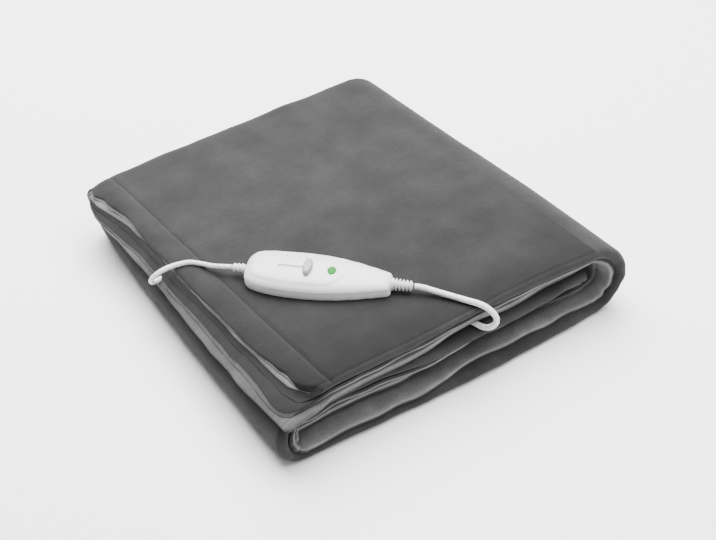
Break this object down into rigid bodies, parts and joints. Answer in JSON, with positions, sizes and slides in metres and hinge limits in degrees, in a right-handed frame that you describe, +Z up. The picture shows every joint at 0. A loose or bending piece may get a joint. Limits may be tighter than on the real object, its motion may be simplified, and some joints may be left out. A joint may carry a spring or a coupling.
{
  "type": "electric heated throw blanket",
  "caption": "Two-tone grey fleece heated throw, folded flat in layers, with a white slide-switch hand control and its lead lying on top.",
  "frame": {"origin": "on the floor, under the middle of the bounding box of the folded throw and its hand control", "axes": "+Z up; +X from the narrow turned end to the wide turned end; +Y from the front, where the layer edges show, to the back"},
  "size_m": [0.4196, 0.4273, 0.1037],
  "materials": {
    "dark_fleece": "short-pile fleece",
    "light_fleece": "short-pile fleece",
    "white_abs": "satin moulded",
    "green_lens": "clear green moulded",
    "white_pvc": "satin flexible",
    "nickelled_brass": "nickel plated"
  },
  "bodies": {
    "throw": {"dark_panel": "dark_fleece", "light_panel": "light_fleece", "control_base": "white_abs", "control_cover": "white_abs", "lamp_lens": "green_lens", "blanket_sleeve": "white_pvc", "mains_relief": "white_pvc", "blanket_lead": "white_pvc", "mains_lead": "white_pvc", "mains_lead_tail": "white_pvc", "mains_lead_hank": "white_pvc", "mains_plug": "white_pvc", "plug_pin_a": "nickelled_brass", "plug_pin_b": "nickelled_brass"},
    "slider": {"switch_knob": "white_abs"}
  },
  "joints": [
    {"name": "switch_slide", "type": "slide", "parent": "throw", "child": "slider", "axis": [-0.684, 0.729, -0.0255], "range_m": [0, 0.0255]}
  ]
}
